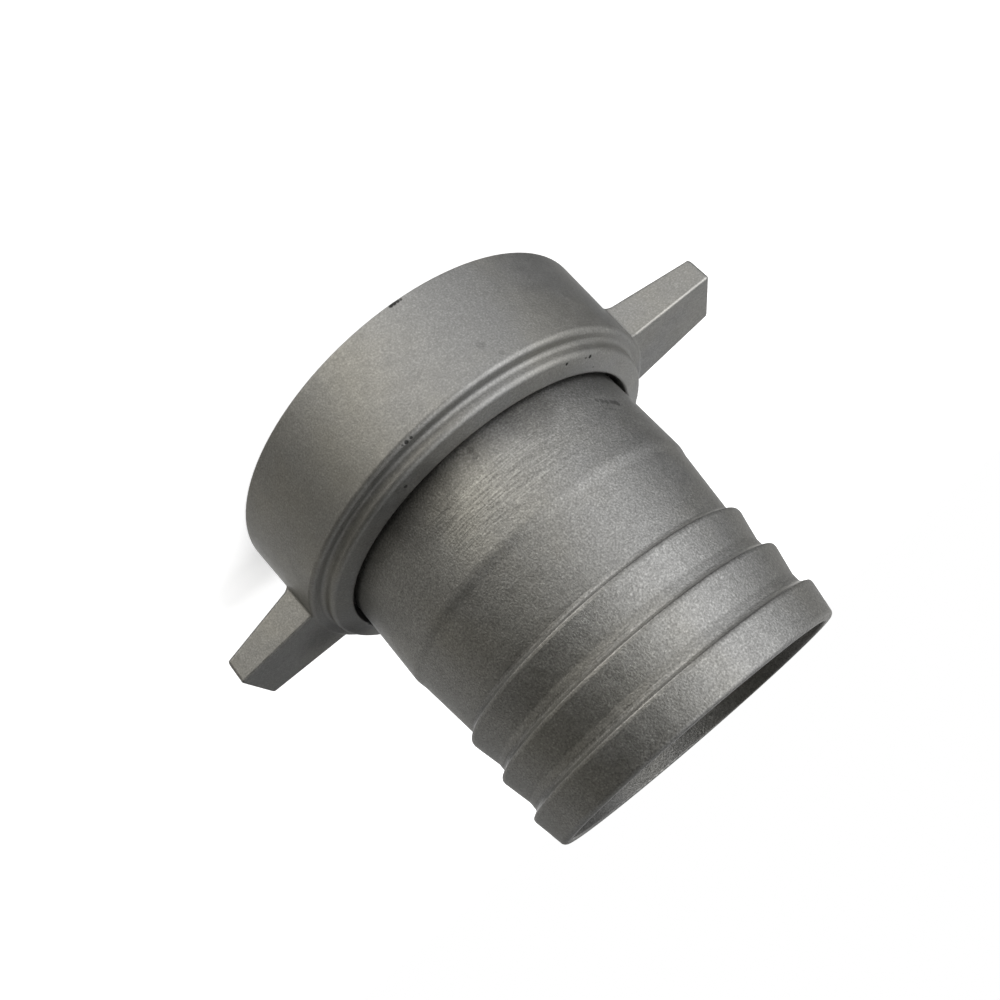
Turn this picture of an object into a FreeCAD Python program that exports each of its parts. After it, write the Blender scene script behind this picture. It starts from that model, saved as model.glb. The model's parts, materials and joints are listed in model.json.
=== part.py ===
import FreeCAD, Part

import math
import os

# Pin lug hose coupling for 3 inch hose, in millimetres.
# The coupling stands on the mouth of its swivel nut, with the hose tail pointing up.
# The Z axis is the flow axis, and the two lugs lie along X.
# Radii follow outward from the hose: barbs, neck, lip, flange, thread, relief, skirt, lugs.

# Hose tail: the barbs that grip the hose
BARB_CREST_R = 38.0
BARB_COUNT = 3
BARB_PITCH = 10.2
BARB_HEIGHT = 1.65
BARB_WALL = 2.35
BARB_RISE = 0.9
BARB_LAND = 0.7
BARB_SLOPE_LENGTH = 6.3
BARB_EDGE_R = 0.35
BARB_ROOT_R = 1.1
BARB_TOE_R = 1.5

# Hose tail: the end that enters the hose first
TIP_LENGTH = 7.9
TIP_DROP = 1.6
TIP_EDGE_R = 1.2
BORE_EDGE_R = 0.4

# Hose tail: the turned neck, the short run-out of the turning tool, and the cast taper
NECK_STEP = 0.95
NECK_LENGTH = 26.7
RUNOUT_LENGTH = 2.2
RUNOUT_DROP = 0.55
TAPER_LENGTH = 15.5
NECK_BLEND_R = 5.0

# Hose tail: the flange that the nut pulls against the washer
FLANGE_OVERLAP = 1.95
FLANGE_THICKNESS = 5.0
FLANGE_EDGE_R = 0.6
FLANGE_ROOT_R = 0.5

# Swivel nut: the female pipe thread, bored to its major size
THREAD_DEPTH = 1.9
THREAD_LENGTH = 13.6
MOUTH_CHAMFER = 1.2

# Swivel nut: the skirt, which narrows a little towards the lip as cast
SKIRT_WALL = 4.6
SKIRT_OVER_SHOULDER = 2.15
SKIRT_DRAFT_DEG = 2.3
SKIRT_REAR_EDGE_R = 0.4
SKIRT_FRONT_EDGE_R = 1.2

# Swivel nut: the raised collar in front of the skirt, with a soft root and a crowned face
COLLAR_INSET = 3.2
COLLAR_HEIGHT = 3.0
COLLAR_ROOT_R = 1.1
COLLAR_EDGE_R = 1.35
COLLAR_CROWN = 1.25
LIP_EDGE_R = 0.5

# Swivel nut: the cast lugs, whose front face lies just behind the skirt's front edge
LUG_COUNT = 2
LUG_REACH = 20.3
LUG_SETBACK = 0.95
LUG_ROOT_THICKNESS = 9.6
LUG_TIP_THICKNESS = 6.75
LUG_ROOT_HALF_WIDTH = 11.5
LUG_TIP_HALF_WIDTH = 9.0
LUG_FLARE_R = 2.6
LUG_FLARE_SINK = 0.2
LUG_REAR_TIP_R = 2.0
LUG_SIDE_EDGE_R = 1.0
LUG_EDGE_R = 0.65
LUG_ROOT_FILLET_R = 0.8

# Sealing washer
WASHER_THICKNESS = 3.0
WASHER_SETBACK = 1.0
WASHER_EDGE_R = 0.3

# Clearances
NECK_CLEARANCE = 1.1
FLANGE_PASS_CLEARANCE = 0.3
FLANGE_END_CLEARANCE = 0.3
RELIEF_DEPTH = 0.6
WASHER_SIDE_CLEARANCE = 0.3

# Radii that follow from the sizes above
BARB_FOOT_R = BARB_CREST_R - BARB_HEIGHT
FLOW_BORE_R = BARB_FOOT_R - BARB_WALL
NECK_R = BARB_CREST_R + NECK_STEP
LIP_HOLE_R = NECK_R + NECK_CLEARANCE
FLANGE_R = LIP_HOLE_R + FLANGE_OVERLAP
THREAD_R = FLANGE_R + FLANGE_PASS_CLEARANCE + THREAD_DEPTH
RELIEF_R = THREAD_R + RELIEF_DEPTH
SKIRT_R = RELIEF_R + SKIRT_WALL
LUG_TIP_R = SKIRT_R + LUG_REACH

# Levels that follow from the sizes above
WASHER_Z = THREAD_LENGTH
FLANGE_REAR_Z = WASHER_Z + WASHER_THICKNESS + FLANGE_END_CLEARANCE
FLANGE_FRONT_Z = FLANGE_REAR_Z + FLANGE_THICKNESS
LIP_SHOULDER_Z = FLANGE_FRONT_Z + FLANGE_END_CLEARANCE
SKIRT_FRONT_Z = LIP_SHOULDER_Z + SKIRT_OVER_SHOULDER
COLLAR_EDGE_Z = SKIRT_FRONT_Z + COLLAR_HEIGHT
LIP_FACE_Z = COLLAR_EDGE_Z + COLLAR_CROWN
LUG_FRONT_Z = SKIRT_FRONT_Z - LUG_SETBACK
NECK_END_Z = FLANGE_FRONT_Z + NECK_LENGTH
TAPER_START_Z = NECK_END_Z + RUNOUT_LENGTH
BARB_START_Z = TAPER_START_Z + TAPER_LENGTH
LAST_CREST_Z = BARB_START_Z + (BARB_COUNT - 1) * BARB_PITCH + BARB_RISE
TIP_Z = LAST_CREST_Z + TIP_LENGTH

# Shares of a form, not sizes of their own
LUG_BURIED_SHARE = 0.8
LONGEST_ROUNDING = 0.48
LUG_SECTOR_DEG = 40
TIP_RELIEF_SLOPE = 0.52


def corner_arc(before, corner, after, radius):
    """Start, middle and end of the arc of this radius that rounds a corner, kept inside its two sides."""
    to_before = before.sub(corner)
    to_after = after.sub(corner)
    half_angle = to_before.getAngle(to_after) / 2
    longest_cut = LONGEST_ROUNDING * min(to_before.Length, to_after.Length)
    cut = min(radius / math.tan(half_angle), longest_cut)
    radius = cut * math.tan(half_angle)
    to_before.normalize()
    to_after.normalize()
    towards_centre = to_before.add(to_after)
    towards_centre.normalize()
    start = corner.add(to_before * cut)
    end = corner.add(to_after * cut)
    middle = corner.add(towards_centre * (radius / math.sin(half_angle) - radius))
    return start, middle, end


def outline(corners):
    """Closed face in the XZ plane through corners (x, z, rounding radius)."""
    points = [FreeCAD.Vector(x, 0, z) for x, z, radius in corners]
    edges = []
    ends = []
    for index, (x, z, radius) in enumerate(corners):
        after = points[(index + 1) % len(points)]
        if radius > 0:
            start, middle, end = corner_arc(points[index - 1], points[index], after, radius)
            edges.append(Part.Arc(start, middle, end).toShape())
            ends.append((start, end))
        else:
            ends.append((points[index], points[index]))
    for index, (start, end) in enumerate(ends):
        following = ends[(index + 1) % len(ends)][0]
        edges.append(Part.LineSegment(end, following).toShape())
    return Part.Face(Part.Wire(Part.__sortEdges__(edges)))


def turned(corners):
    """Solid of revolution about the flow axis, from corners (radius, height, rounding radius)."""
    return outline(corners).revolve(FreeCAD.Vector(0, 0, 0), FreeCAD.Vector(0, 0, 1), 360)


def barb(start_z):
    """One barb: a hollow rise, a narrow land at the crest, then a slope down to the next barb's short foot."""
    crest_z = start_z + BARB_RISE
    slope_z = crest_z + BARB_LAND
    return [
        (BARB_FOOT_R, start_z, BARB_ROOT_R),
        (BARB_CREST_R, crest_z, BARB_EDGE_R),
        (BARB_CREST_R, slope_z, BARB_EDGE_R),
        (BARB_FOOT_R, slope_z + BARB_SLOPE_LENGTH, BARB_TOE_R),
    ]


def hose_tail():
    """One casting: flange, turned neck, taper, barbs and tip round a plain bore."""
    corners = [
        (FLOW_BORE_R, FLANGE_REAR_Z, BORE_EDGE_R),
        (FLANGE_R, FLANGE_REAR_Z, FLANGE_EDGE_R),
        (FLANGE_R, FLANGE_FRONT_Z, FLANGE_EDGE_R),
        (NECK_R, FLANGE_FRONT_Z, FLANGE_ROOT_R),
        (NECK_R, NECK_END_Z, NECK_BLEND_R),
        (NECK_R - RUNOUT_DROP, TAPER_START_Z, NECK_BLEND_R),
    ]
    for index in range(BARB_COUNT):
        corners += barb(BARB_START_Z + index * BARB_PITCH)
    # The last barb's slope runs on to the tip, with no foot.
    corners[-1] = (BARB_CREST_R - TIP_DROP, TIP_Z, TIP_EDGE_R)
    corners.append((FLOW_BORE_R, TIP_Z, BORE_EDGE_R))
    return turned(corners)


def skirt_radius(height):
    """Outer radius of the drafted skirt at a height above the mouth."""
    return SKIRT_R - height * math.tan(math.radians(SKIRT_DRAFT_DEG))


def nut_ring():
    """The round part of the nut: threaded mouth, washer relief, skirt, and the collar that ends in the lip."""
    skirt_front_r = skirt_radius(SKIRT_FRONT_Z)
    collar_r = skirt_front_r - COLLAR_INSET
    ring = turned([
        (THREAD_R + MOUTH_CHAMFER, 0, 0),
        (SKIRT_R, 0, SKIRT_REAR_EDGE_R),
        (skirt_front_r, SKIRT_FRONT_Z, SKIRT_FRONT_EDGE_R),
        (collar_r, SKIRT_FRONT_Z, COLLAR_ROOT_R),
        (collar_r, COLLAR_EDGE_Z, COLLAR_EDGE_R),
        (LIP_HOLE_R, LIP_FACE_Z, LIP_EDGE_R),
        (LIP_HOLE_R, LIP_SHOULDER_Z, 0),
        (RELIEF_R, LIP_SHOULDER_Z, 0),
        (RELIEF_R, THREAD_LENGTH, 0),
        (THREAD_R, THREAD_LENGTH, 0),
        (THREAD_R, MOUTH_CHAMFER, 0),
    ])
    # The seam of the turned faces is kept off the X axis, where the lugs grow out of the skirt.
    ring.rotate(FreeCAD.Vector(0, 0, 0), FreeCAD.Vector(0, 0, 1), 90)
    return ring


def lug_wedge():
    """Sector that gives a lug its sloping rear face and the flare that runs round the skirt."""
    root_r = skirt_radius(LUG_FRONT_Z)
    rear_slope = (LUG_ROOT_THICKNESS - LUG_TIP_THICKNESS) / (LUG_TIP_R - root_r)
    inner_r = root_r - LUG_BURIED_SHARE * SKIRT_WALL
    sunk_r = root_r - LUG_FLARE_SINK
    outer_r = LUG_TIP_R + LUG_REAR_TIP_R
    root_rear_z = LUG_FRONT_Z - LUG_ROOT_THICKNESS
    flare_z = root_rear_z - 2 * LUG_FLARE_R
    section = outline([
        (inner_r, LUG_FRONT_Z, 0),
        (outer_r, LUG_FRONT_Z, 0),
        (outer_r, root_rear_z + rear_slope * (outer_r - root_r), 0),
        (sunk_r, root_rear_z - rear_slope * LUG_FLARE_SINK, LUG_FLARE_R),
        (sunk_r, flare_z, 0),
        (inner_r, flare_z, 0),
    ])
    section.rotate(FreeCAD.Vector(0, 0, 0), FreeCAD.Vector(0, 0, 1), -LUG_SECTOR_DEG / 2)
    return section.revolve(FreeCAD.Vector(0, 0, 0), FreeCAD.Vector(0, 0, 1), LUG_SECTOR_DEG)


def lug_side():
    """Side view of a lug, extruded across, that rounds the rear corner of its tip."""
    tip_rear_z = LUG_FRONT_Z - LUG_TIP_THICKNESS
    inner_x = skirt_radius(LUG_FRONT_Z) - SKIRT_WALL
    section = outline([
        (inner_x, SKIRT_FRONT_Z, 0),
        (LUG_TIP_R, SKIRT_FRONT_Z, 0),
        (LUG_TIP_R, tip_rear_z, LUG_REAR_TIP_R),
        (inner_x, tip_rear_z - TIP_RELIEF_SLOPE * (LUG_TIP_R - inner_x), 0),
    ])
    side = section.extrude(FreeCAD.Vector(0, 4 * LUG_ROOT_HALF_WIDTH, 0))
    side.translate(FreeCAD.Vector(0, -2 * LUG_ROOT_HALF_WIDTH, 0))
    return side


def lug_half_width(x):
    """Half of a lug's width at a distance from the axis."""
    root_x = skirt_radius(LUG_FRONT_Z)
    narrowing = (LUG_ROOT_HALF_WIDTH - LUG_TIP_HALF_WIDTH) / (LUG_TIP_R - root_x)
    return LUG_TIP_HALF_WIDTH + narrowing * (LUG_TIP_R - x)


def lug_plan():
    """Plan view of a lug, extruded along the axis: it narrows towards a flat tip."""
    inner_x = skirt_radius(LUG_FRONT_Z) - LUG_BURIED_SHARE * SKIRT_WALL
    face = outline([
        (inner_x, -lug_half_width(inner_x), 0),
        (LUG_TIP_R, -LUG_TIP_HALF_WIDTH, 0),
        (LUG_TIP_R, LUG_TIP_HALF_WIDTH, 0),
        (inner_x, lug_half_width(inner_x), 0),
    ])
    face.rotate(FreeCAD.Vector(0, 0, 0), FreeCAD.Vector(1, 0, 0), -90)
    return face.extrude(FreeCAD.Vector(0, 0, LUG_FRONT_Z))


def middle_of(edge):
    """Point halfway along an edge."""
    return edge.valueAt((edge.FirstParameter + edge.LastParameter) / 2)


def outside_skirt(point):
    """Whether a point lies clear of the skirt."""
    return math.hypot(point.x, point.y) > SKIRT_R + LUG_EDGE_R


def is_side_edge(edge):
    """Whether an edge bounds a lug's side face at its tip or its rear."""
    middle = middle_of(edge)
    on_side = abs(abs(middle.y) - lug_half_width(middle.x)) < LUG_EDGE_R / 5
    return on_side and outside_skirt(middle) and middle.z < LUG_FRONT_Z - LUG_EDGE_R


def is_front_edge(edge):
    """Whether an edge bounds a lug's front face."""
    middle = middle_of(edge)
    return middle.z > LUG_FRONT_Z - LUG_EDGE_R / 5 and outside_skirt(middle)


def lug():
    """One lug pointing along +X, with softened cast edges and its root buried in the skirt."""
    blank = lug_plan().common(lug_wedge()).common(lug_side())
    blank = blank.makeFillet(LUG_SIDE_EDGE_R, [edge for edge in blank.Edges if is_side_edge(edge)])
    return blank.makeFillet(LUG_EDGE_R, [edge for edge in blank.Edges if is_front_edge(edge)])


def meets_skirt(edge):
    """Whether an edge runs where the lug along +X grows out of the skirt."""
    middle = middle_of(edge)
    off_skirt = abs(math.hypot(middle.x, middle.y) - skirt_radius(middle.z))
    beside_lug = middle.x > 0 and abs(middle.y) < LUG_ROOT_HALF_WIDTH + LUG_EDGE_R
    return off_skirt < LUG_EDGE_R / 5 and beside_lug and edge.Length < 3 * LUG_ROOT_HALF_WIDTH


def swivel_nut():
    """One casting: the ring, with each lug joined in its turn along +X and its root filleted."""
    body = nut_ring()
    for index in range(LUG_COUNT):
        body = body.fuse(lug()).removeSplitter()
        body = body.makeFillet(LUG_ROOT_FILLET_R, [edge for edge in body.Edges if meets_skirt(edge)])
        body.rotate(FreeCAD.Vector(0, 0, 0), FreeCAD.Vector(0, 0, 1), 360 / LUG_COUNT)
    return body


def sealing_washer():
    """Flat rubber ring in the nut's relief, on the end of the thread."""
    inner_r = FLOW_BORE_R + WASHER_SETBACK
    outer_r = RELIEF_R - WASHER_SIDE_CLEARANCE
    top_z = WASHER_Z + WASHER_THICKNESS
    return turned([
        (inner_r, WASHER_Z, WASHER_EDGE_R),
        (outer_r, WASHER_Z, WASHER_EDGE_R),
        (outer_r, top_z, WASHER_EDGE_R),
        (inner_r, top_z, WASHER_EDGE_R),
    ])


def save(node, shape):
    """Write one piece as a STEP file named after its node."""
    shape.Solids[0].exportStep("parts/" + node + ".step")
    print(node, "solids", len(shape.Solids), "valid", shape.isValid(), "volume", round(shape.Volume, 1))


os.makedirs("parts", exist_ok=True)
save("hose_tail", hose_tail())
save("swivel_nut", swivel_nut())
save("sealing_washer", sealing_washer())
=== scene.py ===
import json
import math

import bpy
from mathutils import Euler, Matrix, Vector


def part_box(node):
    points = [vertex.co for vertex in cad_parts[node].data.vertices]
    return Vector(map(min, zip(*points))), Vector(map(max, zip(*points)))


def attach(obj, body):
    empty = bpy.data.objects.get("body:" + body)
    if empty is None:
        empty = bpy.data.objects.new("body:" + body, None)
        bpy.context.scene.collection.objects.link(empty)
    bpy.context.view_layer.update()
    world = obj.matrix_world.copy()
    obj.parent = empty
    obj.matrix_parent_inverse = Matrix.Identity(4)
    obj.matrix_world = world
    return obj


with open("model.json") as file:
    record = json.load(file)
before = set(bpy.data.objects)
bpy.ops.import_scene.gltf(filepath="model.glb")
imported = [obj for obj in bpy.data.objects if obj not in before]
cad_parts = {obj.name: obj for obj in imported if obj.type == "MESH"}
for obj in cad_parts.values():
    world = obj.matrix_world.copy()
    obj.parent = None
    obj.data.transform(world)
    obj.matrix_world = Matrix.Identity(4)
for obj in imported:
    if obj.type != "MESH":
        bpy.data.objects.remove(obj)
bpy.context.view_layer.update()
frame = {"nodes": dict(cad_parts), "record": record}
nodes = frame["nodes"]

# Camera: a close hand-held view from above the hose end, rolled so that the flow axis runs down to the right.
# Its lens, place in metres and turn in degrees were solved from the coupling's turned edges.
CAMERA_PLACE = (0.01179, -0.20731, 0.10459)
CAMERA_TURN = (-64.8713, -37.8645, 162.779)
LENS, SENSOR_WIDTH = 34.2, 36
LENS_SHIFT_X, LENS_SHIFT_Y = 0.04976, 0.06124
camera_data = bpy.data.cameras.new("camera")
camera_data.lens = LENS
camera_data.sensor_width = SENSOR_WIDTH
camera_data.shift_x = LENS_SHIFT_X
camera_data.shift_y = LENS_SHIFT_Y
camera_data.clip_start = 0.01
camera = bpy.data.objects.new("camera", camera_data)
camera.location = CAMERA_PLACE
camera.rotation_euler = Euler([math.radians(angle) for angle in CAMERA_TURN])
bpy.context.scene.collection.objects.link(camera)
bpy.context.scene.camera = camera


# Hose tail: one aluminium casting, a plain neck with three barbs that the hose is pushed over.
# It was blasted with grit after casting, and its neck was then skimmed on a lathe next to the nut.
# Sizes and places are in millimetres, and MM turns them to metres.
MM = 0.001
COOL_METAL, WARM_METAL = "969695", "9A9995"
COOL_CLOUD, WARM_CLOUD = 0.4, 0.7
GRAIN_SIZE = 0.4
SWELL_SIZE = 3.2
CLOUD_SIZE = 24.0
NOISE_LOW, NOISE_HIGH = 0.3, 0.7
MEAN_TONE = 0.97
GLINT_FROM, GLINT_FULL = 0.6, 0.72
GLINT_SHARE = 0.8
SWELL_OVER_GRAIN = 1.6
MARK_SINK = 2.0
SMOOTHEST, ROUGHEST = 0.46, 0.54
TAIL_BITE, TAIL_CONTRAST = 0.075, 0.26
SOFT = {"interpolation_type": "SMOOTHSTEP"}


def linear(hex_colour):
    """Linear RGBA of an sRGB hex colour."""
    parts = [int(hex_colour[i:i + 2], 16) / 255 for i in (0, 2, 4)]
    return [part / 12.92 if part <= 0.04045 else ((part + 0.055) / 1.055) ** 2.4 for part in parts] + [1]


def bare_material(name):
    """New material with an empty node tree."""
    material = bpy.data.materials.new(name)
    material.use_nodes = True
    material.node_tree.nodes.clear()
    return material


def add(tree, kind, settings=None, out=0, **inputs):
    """Add a node and return one of its outputs, which is the first unless out names another.

    Settings are the node's own properties. Inputs are values or the sockets that feed it, by name or as in_2.
    """
    node = tree.nodes.new(kind)
    for name, value in (settings or {}).items():
        setattr(node, name, value)
    for name, value in inputs.items():
        name = name.replace("_", " ")
        socket = node.inputs[int(name[3:])] if name.startswith("in ") else node.inputs[name]
        if isinstance(value, bpy.types.NodeSocket):
            tree.links.new(value, socket)
        else:
            socket.default_value = value
    return node.outputs[out] if node.outputs else None


def blasted_aluminium(name, marks, bite, contrast, wear_and_painted_light):
    """Grit-blasted cast aluminium: matte grey with a fine sparkle, faint warm and cool clouds and dark pits.

    The real grit marks are about 0.2 mm wide, and are drawn a little coarser so that they show. Bite is how
    deep they go in mm, contrast is how strongly they sparkle, and the last argument adds what only this
    piece has: its own wear and its painted light and shade.
    """
    material = bare_material(name)
    tree = material.node_tree
    place = add(tree, "ShaderNodeTexCoord", out="Object")
    grain = add(tree, "ShaderNodeTexNoise", Vector=place, Scale=1 / (GRAIN_SIZE * MM), Detail=2.0)
    swell = add(tree, "ShaderNodeTexNoise", Vector=place, Scale=1 / (SWELL_SIZE * MM), Detail=2.0)
    cloud = add(tree, "ShaderNodeTexNoise", Vector=place, Scale=1 / (CLOUD_SIZE * MM), Detail=3.0)

    warmth = add(tree, "ShaderNodeMapRange", SOFT, Value=cloud, From_Min=COOL_CLOUD, From_Max=WARM_CLOUD)
    metal = add(tree, "ShaderNodeMix", {"data_type": "RGBA"}, out=2,
                Factor=warmth, in_6=linear(COOL_METAL), in_7=linear(WARM_METAL))
    shade = add(tree, "ShaderNodeMapRange", Value=grain, From_Min=NOISE_LOW, From_Max=NOISE_HIGH,
                To_Min=MEAN_TONE - contrast, To_Max=MEAN_TONE + contrast)
    # A painted glint: bright specks of highlight added to the colour where the grain is highest.
    painted_glint = add(tree, "ShaderNodeMapRange", Value=grain, From_Min=GLINT_FROM, From_Max=GLINT_FULL,
                To_Max=contrast * GLINT_SHARE)
    tone = add(tree, "ShaderNodeMath", {"operation": "ADD"}, in_0=shade, in_1=painted_glint)
    height = add(tree, "ShaderNodeMath", {"operation": "MULTIPLY_ADD"},
                 in_0=swell, in_1=SWELL_OVER_GRAIN, in_2=grain)
    tone, height = wear_and_painted_light(tree, place, tone, height)

    for x, y, z, radius, depth in marks:
        away = add(tree, "ShaderNodeVectorMath", {"operation": "DISTANCE"}, out="Value",
                   in_0=place, in_1=(x * MM, y * MM, z * MM))
        kept = add(tree, "ShaderNodeMapRange", SOFT, Value=away,
                   From_Min=radius / 2 * MM, From_Max=radius * MM, To_Min=1 - depth, To_Max=1.0)
        tone = add(tree, "ShaderNodeMath", {"operation": "MULTIPLY"}, in_0=tone, in_1=kept)
        height = add(tree, "ShaderNodeMath", {"operation": "MULTIPLY_ADD"},
                     in_0=kept, in_1=MARK_SINK, in_2=height)

    colour = add(tree, "ShaderNodeMix", {"data_type": "RGBA", "blend_type": "MULTIPLY"}, out=2,
                 in_0=1.0, in_6=metal, in_7=tone)
    gloss = add(tree, "ShaderNodeMapRange", Value=swell, From_Min=NOISE_LOW, From_Max=NOISE_HIGH,
                To_Min=SMOOTHEST, To_Max=ROUGHEST)
    bump = add(tree, "ShaderNodeBump", Strength=1.0, Distance=bite * MM, Height=height)
    skin = add(tree, "ShaderNodeBsdfPrincipled",
               Base_Color=colour, Metallic=1.0, Roughness=gloss, Normal=bump)
    add(tree, "ShaderNodeOutputMaterial", Surface=skin)
    return material


# The neck's lathe lines, in short strokes round it. They show best at the front and fade at both ends.
# The real ones are about 0.2 mm apart, and are drawn coarser so that they show.
TOOL_LINE_SIZE, TOOL_STROKE_LENGTH = 0.38, 5.88
SKIM_FROM, SKIM_FULL, SKIM_FADING, SKIM_TO = 33.0, 36.0, 42.6, 48.6
SKIM_CLEAR_X, SKIM_FAINT_X = 8.0, 20.0
SKIM_FAINT_SHARE = 0.3
FAINT_CLOUD, CLEAR_CLOUD = 0.38, 0.5
FAINT_CLOUD_SHARE = 0.5
DARKEST_LINE, BRIGHTEST_LINE = -0.2, 0.24
LINE_HEIGHT = 0.8


def skim_lines(tree, place, x, rise, tone, height):
    """Add the lathe lines on the neck to the tone and the height."""
    start = add(tree, "ShaderNodeMapRange", SOFT, Value=rise,
                From_Min=SKIM_FROM * MM, From_Max=SKIM_FULL * MM)
    end = add(tree, "ShaderNodeMapRange", SOFT, Value=rise,
              From_Min=SKIM_FADING * MM, From_Max=SKIM_TO * MM, To_Min=1.0, To_Max=0.0)
    aside = add(tree, "ShaderNodeMath", {"operation": "ABSOLUTE"}, in_0=x)
    front = add(tree, "ShaderNodeMapRange", SOFT, Value=aside,
                From_Min=SKIM_CLEAR_X * MM, From_Max=SKIM_FAINT_X * MM, To_Min=1.0, To_Max=SKIM_FAINT_SHARE)
    cloud = add(tree, "ShaderNodeTexNoise", Vector=place, Scale=1 / (CLOUD_SIZE * MM), Detail=3.0)
    patch = add(tree, "ShaderNodeMapRange", Value=cloud,
                From_Min=FAINT_CLOUD, From_Max=CLEAR_CLOUD, To_Min=FAINT_CLOUD_SHARE, To_Max=1.0)
    amount = start
    for share in (end, front, patch):
        amount = add(tree, "ShaderNodeMath", {"operation": "MULTIPLY"}, in_0=amount, in_1=share)

    strokes = [1 / (size * MM) for size in (TOOL_STROKE_LENGTH, TOOL_STROKE_LENGTH, TOOL_LINE_SIZE)]
    stretched = add(tree, "ShaderNodeMapping", Vector=place, Scale=strokes)
    lines = add(tree, "ShaderNodeTexNoise", Vector=stretched, Scale=1.0, Detail=1.5)
    sheen = add(tree, "ShaderNodeMapRange", Value=lines, From_Min=NOISE_LOW, From_Max=NOISE_HIGH,
                To_Min=DARKEST_LINE, To_Max=BRIGHTEST_LINE)
    tone = add(tree, "ShaderNodeMath", {"operation": "MULTIPLY_ADD"}, in_0=sheen, in_1=amount, in_2=tone)
    cut = add(tree, "ShaderNodeMath", {"operation": "MULTIPLY"}, in_0=lines, in_1=amount)
    height = add(tree, "ShaderNodeMath", {"operation": "MULTIPLY_ADD"},
                 in_0=cut, in_1=LINE_HEIGHT, in_2=height)
    return tone, height


# A band of painted shade on the neck that fades away from the nut's lip, and a darker tone all over the bore.
LIP_SHADE_FROM, LIP_SHADE_UP_TO, LIP_SHADE_TONE = 30.5, 35.5, 0.74
BORE_SKIN_R, BORE_TONE = 34.5, 0.88


def lip_shade_and_dark_bore(tree, rise, radius, tone):
    """Darken the tone by the band of painted shade beside the lip, and all over the bore."""
    band = add(tree, "ShaderNodeMapRange", SOFT, Value=rise,
               From_Min=LIP_SHADE_FROM * MM, From_Max=LIP_SHADE_UP_TO * MM, To_Min=LIP_SHADE_TONE, To_Max=1.0)
    tone = add(tree, "ShaderNodeMath", {"operation": "MULTIPLY"}, in_0=tone, in_1=band)
    outside = add(tree, "ShaderNodeMath", {"operation": "GREATER_THAN"}, in_0=radius, in_1=BORE_SKIN_R * MM)
    bore_darkening = add(tree, "ShaderNodeMix", {"data_type": "FLOAT"}, Factor=outside, in_2=BORE_TONE, in_3=1.0)
    return add(tree, "ShaderNodeMath", {"operation": "MULTIPLY"}, in_0=tone, in_1=bore_darkening)


# Painted light on the barbs: the crests are painted with highlights from the middle towards +X and with shade
# towards -X, and the far side at +X is painted with shade. Each row is a place past the start of a barb's
# run, and its tone on these three sides.
BARB_PITCH = 10.2
BARB_RUN_START = 64.8
BARB_SKIN_R = 36.0
HIGHLIT_FROM_X, HIGHLIT_FULL_X = -9.0, 6.0
FRONT_ENDS_X, SIDE_STARTS_X = 18.0, 32.0
FRONT_LEFT_OVER = 0.1
FAR_SHADE_FROM_X, FAR_SHADE_FULL_X = 24.0, 31.0
BARB_TONES = [(0.5, 0.95, 1.0, 0.95), (0.8, 0.7, 1.1, 0.8), (1.2, 0.7, 1.1, 0.6), (1.45, 1.2, 1.4, 0.55),
              (1.95, 1.4, 1.5, 0.6), (2.15, 1.1, 1.05, 0.75), (2.3, 1.3, 0.8, 0.9), (2.6, 1.2, 0.8, 1.0),
              (2.9, 1.0, 1.0, 1.0), (9.2, 1.0, 1.0, 1.0), (9.5, 0.9, 1.0, 1.0)]


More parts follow.
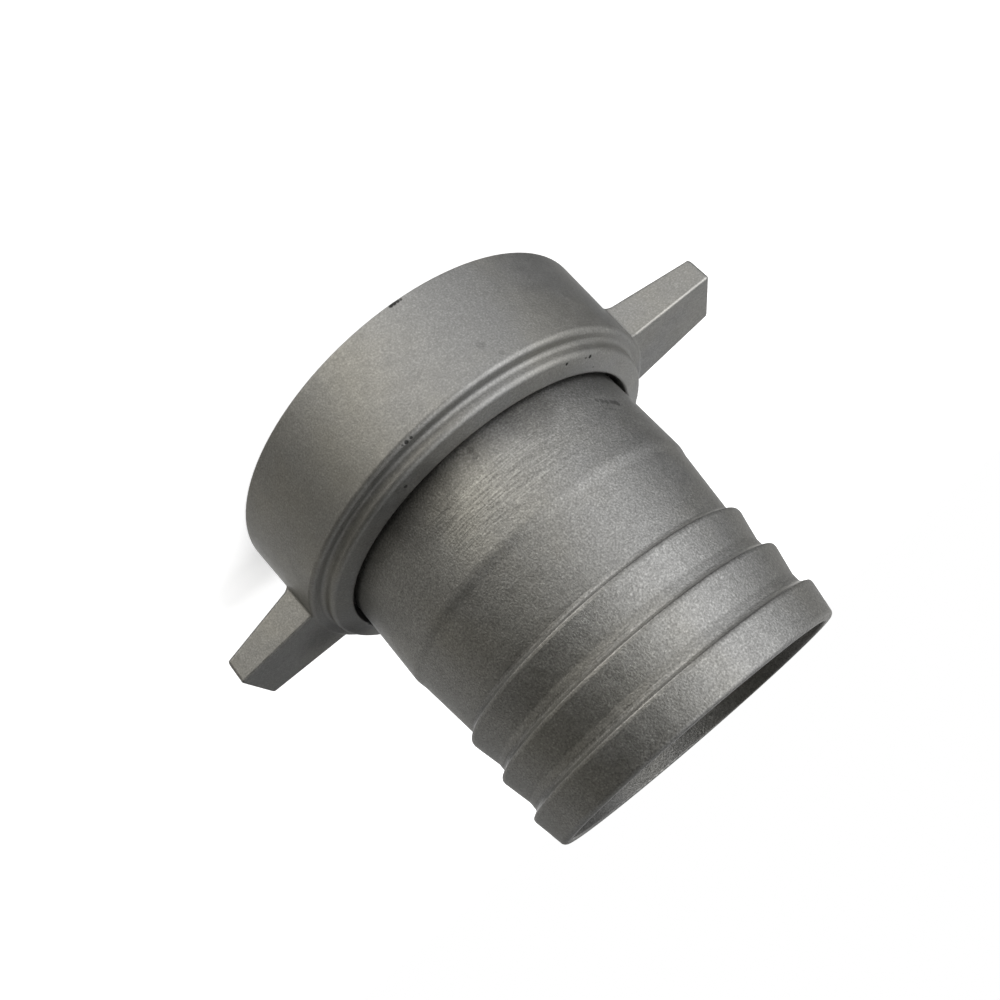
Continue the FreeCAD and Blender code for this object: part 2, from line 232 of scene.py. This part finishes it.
def barb_painted_light(tree, x, rise, radius, tone):
    """Multiply the tone by the barbs' painted highlights and shade, which a ramp holds halved because some
    are over 1.
    """
    along = add(tree, "ShaderNodeMath", {"operation": "SUBTRACT"}, in_0=rise, in_1=BARB_RUN_START * MM)
    within = add(tree, "ShaderNodeMath", {"operation": "FLOORED_MODULO"}, in_0=along, in_1=BARB_PITCH * MM)
    share = add(tree, "ShaderNodeMath", {"operation": "DIVIDE"}, in_0=within, in_1=BARB_PITCH * MM)
    ramp = add(tree, "ShaderNodeValToRGB", Fac=share)
    stops = ramp.node.color_ramp.elements
    while len(stops) < len(BARB_TONES):
        stops.new(0.5)
    for stop, (at, highlit, shaded, far_shaded) in zip(stops, BARB_TONES):
        stop.position = at / BARB_PITCH
        stop.color = (highlit / 2, shaded / 2, far_shaded / 2, 1)
    halves = add(tree, "ShaderNodeSeparateColor", Color=ramp).node.outputs

    to_highlit = add(tree, "ShaderNodeMapRange", SOFT, Value=x,
                    From_Min=HIGHLIT_FROM_X * MM, From_Max=HIGHLIT_FULL_X * MM)
    front = add(tree, "ShaderNodeMix", {"data_type": "FLOAT"},
                Factor=to_highlit, in_2=halves["Green"], in_3=halves["Red"])
    to_far_shade = add(tree, "ShaderNodeMapRange", SOFT, Value=x,
                  From_Min=FAR_SHADE_FROM_X * MM, From_Max=FAR_SHADE_FULL_X * MM)
    side = add(tree, "ShaderNodeMix", {"data_type": "FLOAT"}, Factor=to_far_shade, in_2=1 / 2, in_3=halves["Blue"])
    to_front = add(tree, "ShaderNodeMapRange", SOFT, Value=x, From_Min=FRONT_ENDS_X * MM,
                   From_Max=SIDE_STARTS_X * MM, To_Min=1.0, To_Max=FRONT_LEFT_OVER)
    half = add(tree, "ShaderNodeMix", {"data_type": "FLOAT"}, Factor=to_front, in_2=side, in_3=front)
    barb_light = add(tree, "ShaderNodeMath", {"operation": "MULTIPLY"}, in_0=half, in_1=2.0)

    outside = add(tree, "ShaderNodeMath", {"operation": "GREATER_THAN"}, in_0=radius, in_1=BARB_SKIN_R * MM)
    past_neck = add(tree, "ShaderNodeMath", {"operation": "GREATER_THAN"}, in_0=along, in_1=0.0)
    on_barbs = add(tree, "ShaderNodeMath", {"operation": "MULTIPLY"}, in_0=outside, in_1=past_neck)
    barb_tone = add(tree, "ShaderNodeMix", {"data_type": "FLOAT"}, Factor=on_barbs, in_2=1.0, in_3=barb_light)
    return add(tree, "ShaderNodeMath", {"operation": "MULTIPLY"}, in_0=tone, in_1=barb_tone)


def tail_wear_and_painted_light(tree, place, tone, height):
    """Add the tail's lathe lines, its painted shade and highlights and its darker bore to the tone and the
    height.
    """
    split = add(tree, "ShaderNodeSeparateXYZ", in_0=place).node.outputs
    flat = add(tree, "ShaderNodeCombineXYZ", X=split["X"], Y=split["Y"])
    radius = add(tree, "ShaderNodeVectorMath", {"operation": "LENGTH"}, out="Value", in_0=flat)
    tone, height = skim_lines(tree, place, split["X"], split["Z"], tone, height)
    tone = lip_shade_and_dark_bore(tree, split["Z"], radius, tone)
    tone = barb_painted_light(tree, split["X"], split["Z"], radius, tone)
    return tone, height


# Marks are dark spots, each given as its place, its radius and how much it darkens. The neck has a scuff of
# small ones near the lip at -X, two specks at the front, and two broad patches of painted shade near the lip.
NECK_SCUFF = [(-28.5, -26.5, 34.8, 0.7, 0.35), (-29.35, -25.6, 35.25, 0.8, 0.4),
              (-30.1, -24.7, 35.8, 0.9, 0.4), (-31.05, -23.5, 36.15, 1.0, 0.45),
              (-31.9, -22.4, 36.6, 1.15, 0.5)]
NECK_SPECKS = [(-1.6, -38.9, 30.2, 1.1, 0.25), (-1.6, -38.9, 31.8, 0.9, 0.25)]
# Two broad patches of painted shade on the neck beside the lip.
NECK_PAINTED_SHADE = [(13.3, -36.6, 30.5, 12.0, 0.32), (-15.2, -35.9, 30.5, 8.0, 0.22)]
tail_metal = blasted_aluminium("blasted_cast_aluminium_skimmed_neck", NECK_SCUFF + NECK_SPECKS + NECK_PAINTED_SHADE,
                               TAIL_BITE, TAIL_CONTRAST, tail_wear_and_painted_light)
for slot in nodes["hose_tail"].material_slots:
    slot.material = tail_metal


# Swivel nut: one aluminium casting with two cast lugs, blasted like the tail, and threaded inside its skirt.
# Small casting pores show on its lip and collar, and a chip on its mouth's rim. The front face of the lug at
# +X has painted shade beside the skirt, and the front edge of the other lug has a painted highlight.
NUT_BITE, NUT_CONTRAST = 0.04, 0.15
LIP_PORES = [(-33.2, -28.95, 27.63, 0.55, 0.97), (-27.7, -33.9, 27.7, 0.45, 0.95),
             (-32.2, -29.85, 27.66, 0.3, 0.8), (-33.05, -25.25, 28.22, 0.3, 0.5),
             (12.4, -40.9, 27.95, 0.6, 0.6)]
COLLAR_PORES = [(6.8, -47.35, 24.2, 0.6, 0.75), (5.6, -47.5, 24.2, 0.45, 0.7), (7.8, -47.35, 24.1, 0.3, 0.5)]
MOUTH_CHIP = [(-8.5, -48.65, 0.5, 0.6, 0.85), (-9.3, -48.5, 0.45, 0.65, 0.85), (-10.1, -48.3, 0.5, 0.55, 0.8),
              (-10.8, -48.15, 0.6, 0.4, 0.7)]
SKIRT_STAINS = [(-16.15, -45.9, 18.3, 1.2, 0.16), (-18.2, -45.0, 21.9, 0.8, 0.15)]
# Painted shade on the front face of the lug at +X, beside the skirt.
LUG_PAINTED_SHADE = [(49.0, 2.0, 31.0, 13.0, 0.42)]
# A painted highlight along the front edge of the lug at -X.
HIGHLIT_EDGE_FROM, HIGHLIT_EDGE_TO = Vector((-48.4, -11.2, 23.3)), Vector((-69.2, -8.9, 23.3))
HIGHLIT_EDGE_CORE, HIGHLIT_EDGE_REACH = 0.15, 0.55
HIGHLIT_EDGE_GAIN = 0.5


def lug_edge_highlight(tree, place, tone, height):
    """Add the painted highlight along the lug's front edge to the tone, by how far each place is from the
    edge's line.
    """
    run = HIGHLIT_EDGE_TO - HIGHLIT_EDGE_FROM
    offset = add(tree, "ShaderNodeVectorMath", {"operation": "SUBTRACT"},
                 in_0=place, in_1=HIGHLIT_EDGE_FROM * MM)
    on_line = add(tree, "ShaderNodeVectorMath", {"operation": "PROJECT"}, in_0=offset, in_1=run)
    beside = add(tree, "ShaderNodeVectorMath", {"operation": "SUBTRACT"}, in_0=offset, in_1=on_line)
    away = add(tree, "ShaderNodeVectorMath", {"operation": "LENGTH"}, out="Value", in_0=beside)
    highlit = add(tree, "ShaderNodeMapRange", SOFT, Value=away, From_Min=HIGHLIT_EDGE_CORE * MM,
                 From_Max=HIGHLIT_EDGE_REACH * MM, To_Min=HIGHLIT_EDGE_GAIN, To_Max=0.0)
    x = add(tree, "ShaderNodeSeparateXYZ", out="X", in_0=place)
    on_lug = add(tree, "ShaderNodeMath", {"operation": "LESS_THAN"}, in_0=x, in_1=HIGHLIT_EDGE_FROM.x * MM)
    tone = add(tree, "ShaderNodeMath", {"operation": "MULTIPLY_ADD"}, in_0=highlit, in_1=on_lug, in_2=tone)
    return tone, height


nut_marks = LIP_PORES + COLLAR_PORES + MOUTH_CHIP + SKIRT_STAINS + LUG_PAINTED_SHADE
nut_metal = blasted_aluminium("blasted_cast_aluminium", nut_marks, NUT_BITE, NUT_CONTRAST, lug_edge_highlight)
for slot in nodes["swivel_nut"].material_slots:
    slot.material = nut_metal


# The nut's thread: a helical ridge, eight turns to the inch, cut inside the skirt of the casting on a lathe.
# It starts just above the mouth, follows the chamfer there, and ends just below the washer. Its foot is sunk
# a little into the wall.
pipe_thread = next(mount for mount in frame["record"]["mounts"] if mount["name"] == "pipe_thread")
THREAD_WALL_R = pipe_thread["dims"]["r_mm"]
THREAD_PITCH = 25.4 / 8
THREAD_DEPTH = 1.9
THREAD_CREST_R = THREAD_WALL_R - THREAD_DEPTH
THREAD_ROOT_HALF, THREAD_CREST_HALF = 1.4, 0.28
CREST_BREAK = 0.08
MOUTH_CHAMFER = 1.2
MOUTH_GAP, WASHER_GAP = 0.04, 0.1
THREAD_START = THREAD_ROOT_HALF + MOUTH_GAP
THREAD_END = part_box("sealing_washer")[0][2] / MM - THREAD_ROOT_HALF - WASHER_GAP
STEPS_A_TURN = 144
RUN_IN_STEPS, RUN_OUT_STEPS = 14, 40
SINK = 0.06
SHARP_FROM = math.radians(30)
buried_r = THREAD_WALL_R + SINK
profile = [(buried_r, -THREAD_ROOT_HALF), (THREAD_CREST_R + CREST_BREAK, -THREAD_CREST_HALF - CREST_BREAK),
           (THREAD_CREST_R, -THREAD_CREST_HALF), (THREAD_CREST_R, THREAD_CREST_HALF),
           (THREAD_CREST_R + CREST_BREAK, THREAD_CREST_HALF + CREST_BREAK), (buried_r, THREAD_ROOT_HALF)]
steps = round((THREAD_END - THREAD_START) / THREAD_PITCH * STEPS_A_TURN)
points = []
for step in range(steps + 1):
    turn = math.tau * step / STEPS_A_TURN
    centre = THREAD_START + THREAD_PITCH * step / STEPS_A_TURN
    grown = min(1, step / RUN_IN_STEPS, (steps - step) / RUN_OUT_STEPS)
    for crest_r, aside in profile:
        z = centre + aside
        r = max(buried_r - (buried_r - crest_r) * grown, buried_r + MOUTH_CHAMFER - z)
        points.append((r * math.cos(turn) * MM, r * math.sin(turn) * MM, z * MM))
corners = len(profile)
last_ring = steps * corners
faces = [(ring + corner, ring + corner + 1, ring + corners + corner + 1, ring + corners + corner)
         for ring in range(0, last_ring, corners) for corner in range(corners - 1)]
faces += [(ring + corners, ring + 2 * corners - 1, ring + corners - 1, ring)
          for ring in range(0, last_ring, corners)]
faces += [tuple(range(corners)), tuple(last_ring + corner for corner in reversed(range(corners)))]
thread_mesh = bpy.data.meshes.new("nut_thread")
thread_mesh.from_pydata(points, [], faces)
thread_mesh.shade_smooth()
thread_mesh.set_sharp_from_angle(angle=SHARP_FROM)
thread = bpy.data.objects.new("nut_thread", thread_mesh)
bpy.context.scene.collection.objects.link(thread)

# Turned cast aluminium is brighter and smoother than the blasted skin, with fine lines round the bore.
# The real lines are under 0.1 mm apart, and are drawn coarser so that they show.
TURNED_DULL, TURNED_BRIGHT = "9C9D9B", "B7B7B3"
TURNED_LINE_SIZE, TURNED_STROKE_LENGTH = 0.25, 12.5
TURNED_BITE = 0.01
TURNED_ROUGHNESS = 0.34
turned = bare_material("turned_cast_aluminium")
tree = turned.node_tree
place = add(tree, "ShaderNodeTexCoord", out="Object")
strokes = [1 / (size * MM) for size in (TURNED_STROKE_LENGTH, TURNED_STROKE_LENGTH, TURNED_LINE_SIZE)]
stretched = add(tree, "ShaderNodeMapping", Vector=place, Scale=strokes)
lines = add(tree, "ShaderNodeTexNoise", Vector=stretched, Scale=1.0, Detail=2.0)
colour = add(tree, "ShaderNodeMix", {"data_type": "RGBA"}, out=2,
             Factor=lines, in_6=linear(TURNED_DULL), in_7=linear(TURNED_BRIGHT))
bump = add(tree, "ShaderNodeBump", Strength=0.6, Distance=TURNED_BITE * MM, Height=lines)
skin = add(tree, "ShaderNodeBsdfPrincipled",
           Base_Color=colour, Metallic=1.0, Roughness=TURNED_ROUGHNESS, Normal=bump)
add(tree, "ShaderNodeOutputMaterial", Surface=skin)
thread_mesh.materials.append(turned)
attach(thread, "swivel_nut")


# Sealing washer: a flat ring of black nitrile rubber, punched from sheet and held against the tail's flange.
# Punched sheet shows a soft sheen, a faint print of the cloth that it was cured on, and pale dust.
RUBBER_BLACK, RUBBER_DUST = "1E1E1F", "3A3936"
DUST_SIZE = 5.0
DUST_FROM, DUST_FULL = 0.45, 0.75
CLEAN_ROUGHNESS, DUSTY_ROUGHNESS = 0.5, 0.68
CLOTH_PRINT_SIZE, CLOTH_PRINT_BITE = 0.6, 0.02
RUBBER_IOR = 1.52
# At scale 1 the bands of a wave texture lie this far apart.
WAVE_PERIOD = math.tau / 20
rubber = bare_material("punched_nitrile_rubber")
tree = rubber.node_tree
place = add(tree, "ShaderNodeTexCoord", out="Object")
dust = add(tree, "ShaderNodeTexNoise", Vector=place, Scale=1 / (DUST_SIZE * MM), Detail=5.0)
dusty = add(tree, "ShaderNodeMapRange", Value=dust, From_Min=DUST_FROM, From_Max=DUST_FULL)
colour = add(tree, "ShaderNodeMix", {"data_type": "RGBA"}, out=2,
             Factor=dusty, in_6=linear(RUBBER_BLACK), in_7=linear(RUBBER_DUST))
warp, weft = (add(tree, "ShaderNodeTexWave", {"bands_direction": direction}, out="Fac", Vector=place,
                  Scale=WAVE_PERIOD / (CLOTH_PRINT_SIZE * MM), Distortion=0.4) for direction in ("X", "Y"))
weave = add(tree, "ShaderNodeMath", {"operation": "ADD"}, in_0=warp, in_1=weft)
bump = add(tree, "ShaderNodeBump", Strength=0.5, Distance=CLOTH_PRINT_BITE * MM, Height=weave)
sheen = add(tree, "ShaderNodeMapRange", Value=dust, From_Min=NOISE_LOW, From_Max=NOISE_HIGH,
            To_Min=CLEAN_ROUGHNESS, To_Max=DUSTY_ROUGHNESS)
skin = add(tree, "ShaderNodeBsdfPrincipled", Base_Color=colour, Roughness=sheen, IOR=RUBBER_IOR, Normal=bump)
add(tree, "ShaderNodeOutputMaterial", Surface=skin)
for slot in nodes["sealing_washer"].material_slots:
    slot.material = rubber


# Floor: a plain white paper sweep, sized in metres. The camera sees it white, apart from the soft shadow that
# the coupling throws close to it. The metal mirrors the room's glow in its place, which holds the white that
# the paper throws back.
FLOOR_HALF = 1.5
SHADOW_KEPT_TO, WHITE_FROM = 0.12, 0.6
PAPER_GLOW_NEAR = 0.6
PAPER_WHITE, GLOW_WHITE = "E7E7E7", "FFFFFF"
floor_mesh = bpy.data.meshes.new("floor")
floor_mesh.from_pydata([(-FLOOR_HALF, -FLOOR_HALF, 0), (FLOOR_HALF, -FLOOR_HALF, 0),
                        (FLOOR_HALF, FLOOR_HALF, 0), (-FLOOR_HALF, FLOOR_HALF, 0)], [], [(0, 1, 2, 3)])
floor = bpy.data.objects.new("floor", floor_mesh)
bpy.context.scene.collection.objects.link(floor)
floor.visible_glossy = False
paper = bare_material("white_paper")
paper.cycles.emission_sampling = "NONE"
tree = paper.node_tree
position = add(tree, "ShaderNodeNewGeometry", out="Position")
away = add(tree, "ShaderNodeVectorMath", {"operation": "LENGTH"}, out="Value", in_0=position)
whiten = add(tree, "ShaderNodeMapRange", SOFT, Value=away, From_Min=SHADOW_KEPT_TO, From_Max=WHITE_FROM,
             To_Min=PAPER_GLOW_NEAR, To_Max=1.0)
eye = add(tree, "ShaderNodeLightPath", out="Is Camera Ray")
glow = add(tree, "ShaderNodeMath", {"operation": "MULTIPLY"}, in_0=whiten, in_1=eye)
matte = add(tree, "ShaderNodeBsdfDiffuse", Color=linear(PAPER_WHITE))
white = add(tree, "ShaderNodeEmission", Color=linear(GLOW_WHITE), Strength=glow)
sheet = add(tree, "ShaderNodeAddShader", in_0=matte, in_1=white)
add(tree, "ShaderNodeOutputMaterial", Surface=sheet)
floor_mesh.materials.append(paper)


# Studio light: a large softbox at the front left, a smaller one behind and one overhead, each a metre away.
# They light the paper and the rubber, because the metal mirrors the room's glows below in their place.
# Each is given as azimuth, elevation, width, height and watts.
SOFTBOXES = {"key": (222, 35, 1.0, 0.75, 8.0), "behind": (110, 30, 0.6, 0.6, 3.0),
             "top": (0, 90, 0.8, 0.8, 4.0)}
AIM_AT = Vector((0, 0, 0.05))


def towards(azimuth, elevation):
    """Unit vector from the coupling towards a place in the room."""
    turn, tilt = math.radians(azimuth), math.radians(elevation)
    return Vector((math.cos(turn) * math.cos(tilt), math.sin(turn) * math.cos(tilt), math.sin(tilt)))


for name, (azimuth, elevation, width, height, watts) in SOFTBOXES.items():
    lamp_data = bpy.data.lights.new("softbox_" + name, "AREA")
    lamp_data.shape = "RECTANGLE"
    lamp_data.size, lamp_data.size_y, lamp_data.energy = width, height, watts
    lamp = bpy.data.objects.new("softbox_" + name, lamp_data)
    outward = towards(azimuth, elevation)
    lamp.location = AIM_AT + outward
    lamp.rotation_euler = outward.to_track_quat("Z", "Y").to_euler()
    lamp.visible_camera = False
    lamp.visible_glossy = False
    bpy.context.scene.collection.objects.link(lamp)


# The room as the metal mirrors it: azimuth, elevation and strength of glows that fade over 40 degrees each.
# They stand for the softbox at the front left, the lit paper in front and behind, and the pale walls around.
# The room is a little warm at the front right, towards +X and -Y.
SOFTBOX_GLOWS = [(220, 65, 0.9), (200, 40, 0.8), (240, 40, 1.05), (210, 10, 0.8), (240, 10, 0.65)]
FRONT_PAPER_GLOWS = [(270, -45, 1.9), (225, -45, 0.45), (315, -45, 0.1), (210, -20, 0.3), (300, -20, 0.3)]
BACK_PAPER_GLOWS = [(90, -20, 1.2), (90, -45, 0.7), (45, -45, 0.2), (135, -45, 0.25), (0, -20, 0.2),
                    (30, -20, 0.25)]
WALL_GLOWS = [(30, 10, 0.2), (120, 10, 0.4), (180, 10, 0.25), (40, 40, 0.25), (120, 40, 0.4)]
GLOW_EDGE = math.cos(math.radians(40))
DARK_ROOM, FILL_LIGHT = 0.02, 0.3
NEUTRAL_WALL, WARM_WALL = "FFFFFF", "FFFAEE"
WARM_AZIMUTH = 320
WARM_FROM, WARM_FULL = -0.1, 0.9
world = bpy.data.worlds.new("studio")
bpy.context.scene.world = world
world.use_nodes = True
world.cycles.sampling_method = "NONE"
tree = world.node_tree
tree.nodes.clear()
rays = add(tree, "ShaderNodeLightPath").node.outputs
direction = add(tree, "ShaderNodeTexCoord", out="Generated")
mirrored = DARK_ROOM
for azimuth, elevation, strength in SOFTBOX_GLOWS + FRONT_PAPER_GLOWS + BACK_PAPER_GLOWS + WALL_GLOWS:
    facing = add(tree, "ShaderNodeVectorMath", {"operation": "DOT_PRODUCT"}, out="Value",
                 in_0=direction, in_1=towards(azimuth, elevation))
    lobe = add(tree, "ShaderNodeMapRange", SOFT, Value=facing,
               From_Min=GLOW_EDGE, From_Max=1.0, To_Max=strength)
    mirrored = add(tree, "ShaderNodeMath", {"operation": "ADD"}, in_0=lobe, in_1=mirrored)
gloss_ray = add(tree, "ShaderNodeMath", {"operation": "MAXIMUM"},
                in_0=rays["Is Glossy Ray"], in_1=rays["Is Transmission Ray"])
unseen = add(tree, "ShaderNodeMix", {"data_type": "FLOAT"}, Factor=gloss_ray, in_2=FILL_LIGHT, in_3=mirrored)
level = add(tree, "ShaderNodeMix", {"data_type": "FLOAT"},
            Factor=rays["Is Camera Ray"], in_2=unseen, in_3=1.0)
warm_side = add(tree, "ShaderNodeVectorMath", {"operation": "DOT_PRODUCT"}, out="Value",
                in_0=direction, in_1=towards(WARM_AZIMUTH, 0))
warm = add(tree, "ShaderNodeMapRange", SOFT, Value=warm_side, From_Min=WARM_FROM, From_Max=WARM_FULL)
warm_mirror = add(tree, "ShaderNodeMath", {"operation": "MULTIPLY"}, in_0=warm, in_1=gloss_ray)
wall = add(tree, "ShaderNodeMix", {"data_type": "RGBA"}, out=2,
           Factor=warm_mirror, in_6=linear(NEUTRAL_WALL), in_7=linear(WARM_WALL))
backdrop = add(tree, "ShaderNodeBackground", Color=wall, Strength=level)
add(tree, "ShaderNodeOutputWorld", Surface=backdrop)
bpy.context.scene.view_settings.view_transform = "Standard"
